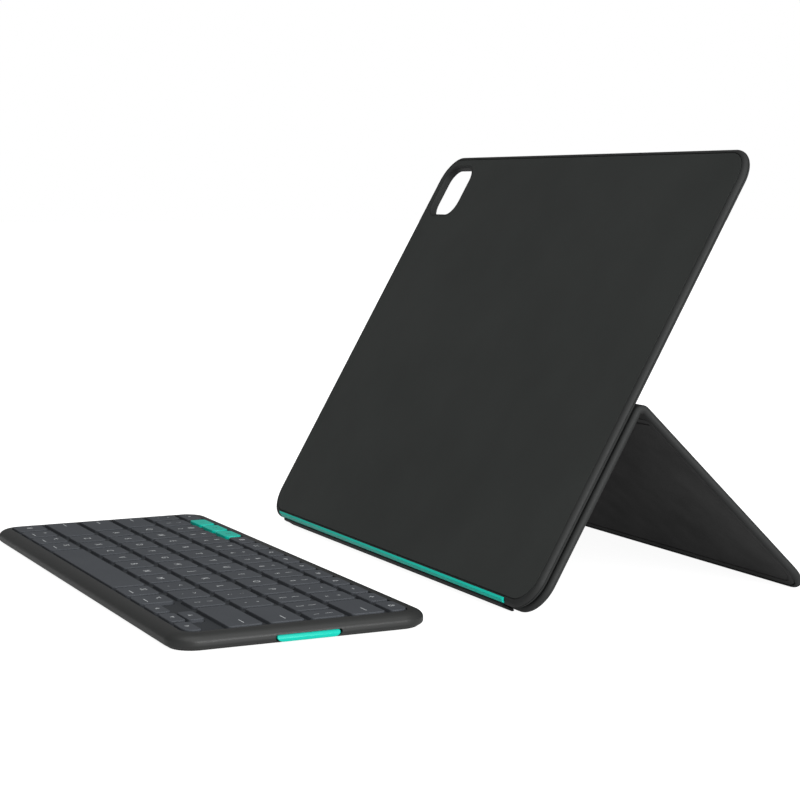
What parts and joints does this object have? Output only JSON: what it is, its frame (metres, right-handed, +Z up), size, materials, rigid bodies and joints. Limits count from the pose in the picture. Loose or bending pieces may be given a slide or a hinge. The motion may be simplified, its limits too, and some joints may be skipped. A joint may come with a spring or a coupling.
{
  "type": "tablet keyboard case",
  "caption": "Folio tablet case with magnetic panel, camera window, spine, lower cover and fold-out stand flap, and a separate thin wireless keyboard with sprung keys and power slider.",
  "frame": {"origin": "middle of the footprint of the folio and its keyboard as they stand, on the desk", "axes": "+Z up, +X to the right of the tablet, +Y from the keyboard towards the stand's foot"},
  "size_m": [0.2851, 0.2908, 0.1915],
  "materials": {
    "graphite_edge": "soft-touch elastomer skin, matte, on the rims and outer faces",
    "graphite_face": "fine-grained soft-touch sheet, matte",
    "stiffener_board": "glass-filled board, never seen",
    "dark_lining": "short microfibre lining",
    "spine_elastomer": "matte elastomer",
    "teal_plastic": "satin moulded plastic",
    "magnet_steel": "nickel plated",
    "keyboard_casing": "satin moulded plastic",
    "key_plastic": "matte keycap with light print",
    "clear_film": "polyester film",
    "dome_silicone": "translucent silicone",
    "scissor_plastic": "moulded plastic",
    "circuit_board": "solder mask",
    "contact_brass": "sprung strip",
    "foot_rubber": "matte rubber"
  },
  "bodies": {
    "panel": {"panel_shell": "graphite_edge", "panel_face": "graphite_face", "panel_board": "stiffener_board", "panel_magnets": "magnet_steel", "accent_strip": "teal_plastic"},
    "spine": {"spine_strip": "spine_elastomer", "spine_core": "magnet_steel"},
    "cover": {"cover_skin": "graphite_edge", "cover_board": "stiffener_board", "cover_liner": "dark_lining", "cover_magnets": "magnet_steel", "fold_strip": "graphite_edge"},
    "stand_flap": {"flap_skin": "graphite_edge", "flap_board": "stiffener_board", "flap_liner": "dark_lining", "flap_magnets": "magnet_steel"},
    "keyboard": {"keyboard_base": "keyboard_casing", "keyboard_frame": "keyboard_casing", "support_plate": "magnet_steel", "membrane": "clear_film", "key_domes": "dome_silicone", "scissor_outer": "scissor_plastic", "scissor_inner": "scissor_plastic", "main_board": "circuit_board", "switch_body": "magnet_steel", "coin_cells": "magnet_steel", "battery_contacts": "contact_brass", "battery_door": "keyboard_casing", "battery_door_screw": "magnet_steel", "case_screws": "magnet_steel", "rubber_feet": "foot_rubber", "dock_magnets": "magnet_steel"},
    "slider": {"power_slider": "teal_plastic"},
    "key_escape_cap": {"key_escape": "key_plastic"},
    "key_pair_1_cap": {"key_pair_1": "teal_plastic"},
    "key_pair_2_cap": {"key_pair_2": "teal_plastic"},
    "key_pair_3_cap": {"key_pair_3": "teal_plastic"},
    "function_bank": {"function_keys": "key_plastic"},
    "key_lock_cap": {"key_lock": "key_plastic"},
    "number_bank": {"number_keys": "key_plastic"},
    "key_delete_cap": {"key_delete": "key_plastic"},
    "key_tab_cap": {"key_tab": "key_plastic"},
    "upper_letter_bank": {"upper_letter_keys": "key_plastic"},
    "key_caps_cap": {"key_caps": "key_plastic"},
    "home_letter_bank": {"home_letter_keys": "key_plastic"},
    "key_return_cap": {"key_return": "key_plastic"},
    "key_shift_left_cap": {"key_shift_left": "key_plastic"},
    "lower_letter_bank": {"lower_letter_keys": "key_plastic"},
    "key_shift_right_cap": {"key_shift_right": "key_plastic"},
    "key_fn_cap": {"key_fn": "key_plastic"},
    "key_control_cap": {"key_control": "key_plastic"},
    "key_option_left_cap": {"key_option_left": "key_plastic"},
    "key_command_left_cap": {"key_command_left": "key_plastic"},
    "key_space_cap": {"key_space": "key_plastic"},
    "key_command_right_cap": {"key_command_right": "key_plastic"},
    "key_option_right_cap": {"key_option_right": "key_plastic"},
    "key_arrow_left_cap": {"key_arrow_left": "key_plastic"},
    "key_arrow_up_cap": {"key_arrow_up": "key_plastic"},
    "key_arrow_down_cap": {"key_arrow_down": "key_plastic"},
    "key_arrow_right_cap": {"key_arrow_right": "key_plastic"}
  },
  "joints": [
    {"name": "spine_fold_front", "type": "hinge", "parent": "panel", "child": "spine", "pos_m": [-0.00025, 0.0027, 0.00434], "axis": [-1, 0, 0], "range_deg": [0, 90]},
    {"name": "spine_fold_back", "type": "hinge", "parent": "spine", "child": "cover", "pos_m": [-0.00025, 0.00916, 0.0006], "axis": [-1, 0, 0], "range_deg": [0, 90]},
    {"name": "stand_fold", "type": "hinge", "parent": "cover", "child": "stand_flap", "pos_m": [-0.00025, 0.05714, 0.08473], "axis": [1, 0, 0], "range_deg": [-33, 104], "deforming": ["fold_strip"]},
    {"name": "keyboard_move", "type": "slide", "parent": "panel", "child": "keyboard", "axis": [0, -1, 0], "range_m": [-0.03, 0.06]},
    {"name": "power_switch", "type": "slide", "parent": "keyboard", "child": "slider", "axis": [0, 1, 0], "range_m": [-0.0007, 0.0007]},
    {"name": "key_escape_press", "type": "slide", "parent": "keyboard", "child": "key_escape_cap", "axis": [0, 0, -1], "range_m": [0, 0.001], "stiffness_N_per_m": 300, "springref_m": -0.001},
    {"name": "key_pair_1_press", "type": "slide", "parent": "keyboard", "child": "key_pair_1_cap", "axis": [0, 0, -1], "range_m": [0, 0.001], "stiffness_N_per_m": 300, "springref_m": -0.001},
    {"name": "key_pair_2_press", "type": "slide", "parent": "keyboard", "child": "key_pair_2_cap", "axis": [0, 0, -1], "range_m": [0, 0.001], "stiffness_N_per_m": 300, "springref_m": -0.001},
    {"name": "key_pair_3_press", "type": "slide", "parent": "keyboard", "child": "key_pair_3_cap", "axis": [0, 0, -1], "range_m": [0, 0.001], "stiffness_N_per_m": 300, "springref_m": -0.001},
    {"name": "function_bank_press", "type": "slide", "parent": "keyboard", "child": "function_bank", "axis": [0, 0, -1], "range_m": [0, 0.001], "stiffness_N_per_m": 300, "springref_m": -0.001},
    {"name": "key_lock_press", "type": "slide", "parent": "keyboard", "child": "key_lock_cap", "axis": [0, 0, -1], "range_m": [0, 0.001], "stiffness_N_per_m": 300, "springref_m": -0.001},
    {"name": "number_bank_press", "type": "slide", "parent": "keyboard", "child": "number_bank", "axis": [0, 0, -1], "range_m": [0, 0.001], "stiffness_N_per_m": 300, "springref_m": -0.001},
    {"name": "key_delete_press", "type": "slide", "parent": "keyboard", "child": "key_delete_cap", "axis": [0, 0, -1], "range_m": [0, 0.001], "stiffness_N_per_m": 300, "springref_m": -0.001},
    {"name": "key_tab_press", "type": "slide", "parent": "keyboard", "child": "key_tab_cap", "axis": [0, 0, -1], "range_m": [0, 0.001], "stiffness_N_per_m": 300, "springref_m": -0.001},
    {"name": "upper_letter_bank_press", "type": "slide", "parent": "keyboard", "child": "upper_letter_bank", "axis": [0, 0, -1], "range_m": [0, 0.001], "stiffness_N_per_m": 300, "springref_m": -0.001},
    {"name": "key_caps_press", "type": "slide", "parent": "keyboard", "child": "key_caps_cap", "axis": [0, 0, -1], "range_m": [0, 0.001], "stiffness_N_per_m": 300, "springref_m": -0.001},
    {"name": "home_letter_bank_press", "type": "slide", "parent": "keyboard", "child": "home_letter_bank", "axis": [0, 0, -1], "range_m": [0, 0.001], "stiffness_N_per_m": 300, "springref_m": -0.001},
    {"name": "key_return_press", "type": "slide", "parent": "keyboard", "child": "key_return_cap", "axis": [0, 0, -1], "range_m": [0, 0.001], "stiffness_N_per_m": 300, "springref_m": -0.001},
    {"name": "key_shift_left_press", "type": "slide", "parent": "keyboard", "child": "key_shift_left_cap", "axis": [0, 0, -1], "range_m": [0, 0.001], "stiffness_N_per_m": 300, "springref_m": -0.001},
    {"name": "lower_letter_bank_press", "type": "slide", "parent": "keyboard", "child": "lower_letter_bank", "axis": [0, 0, -1], "range_m": [0, 0.001], "stiffness_N_per_m": 300, "springref_m": -0.001},
    {"name": "key_shift_right_press", "type": "slide", "parent": "keyboard", "child": "key_shift_right_cap", "axis": [0, 0, -1], "range_m": [0, 0.001], "stiffness_N_per_m": 300, "springref_m": -0.001},
    {"name": "key_fn_press", "type": "slide", "parent": "keyboard", "child": "key_fn_cap", "axis": [0, 0, -1], "range_m": [0, 0.001], "stiffness_N_per_m": 300, "springref_m": -0.001},
    {"name": "key_control_press", "type": "slide", "parent": "keyboard", "child": "key_control_cap", "axis": [0, 0, -1], "range_m": [0, 0.001], "stiffness_N_per_m": 300, "springref_m": -0.001},
    {"name": "key_option_left_press", "type": "slide", "parent": "keyboard", "child": "key_option_left_cap", "axis": [0, 0, -1], "range_m": [0, 0.001], "stiffness_N_per_m": 300, "springref_m": -0.001},
    {"name": "key_command_left_press", "type": "slide", "parent": "keyboard", "child": "key_command_left_cap", "axis": [0, 0, -1], "range_m": [0, 0.001], "stiffness_N_per_m": 300, "springref_m": -0.001},
    {"name": "key_space_press", "type": "slide", "parent": "keyboard", "child": "key_space_cap", "axis": [0, 0, -1], "range_m": [0, 0.001], "stiffness_N_per_m": 300, "springref_m": -0.001},
    {"name": "key_command_right_press", "type": "slide", "parent": "keyboard", "child": "key_command_right_cap", "axis": [0, 0, -1], "range_m": [0, 0.001], "stiffness_N_per_m": 300, "springref_m": -0.001},
    {"name": "key_option_right_press", "type": "slide", "parent": "keyboard", "child": "key_option_right_cap", "axis": [0, 0, -1], "range_m": [0, 0.001], "stiffness_N_per_m": 300, "springref_m": -0.001},
    {"name": "key_arrow_left_press", "type": "slide", "parent": "keyboard", "child": "key_arrow_left_cap", "axis": [0, 0, -1], "range_m": [0, 0.001], "stiffness_N_per_m": 300, "springref_m": -0.001},
    {"name": "key_arrow_up_press", "type": "slide", "parent": "keyboard", "child": "key_arrow_up_cap", "axis": [0, 0, -1], "range_m": [0, 0.001], "stiffness_N_per_m": 300, "springref_m": -0.001},
    {"name": "key_arrow_down_press", "type": "slide", "parent": "keyboard", "child": "key_arrow_down_cap", "axis": [0, 0, -1], "range_m": [0, 0.001], "stiffness_N_per_m": 300, "springref_m": -0.001},
    {"name": "key_arrow_right_press", "type": "slide", "parent": "keyboard", "child": "key_arrow_right_cap", "axis": [0, 0, -1], "range_m": [0, 0.001], "stiffness_N_per_m": 300, "springref_m": -0.001}
  ]
}
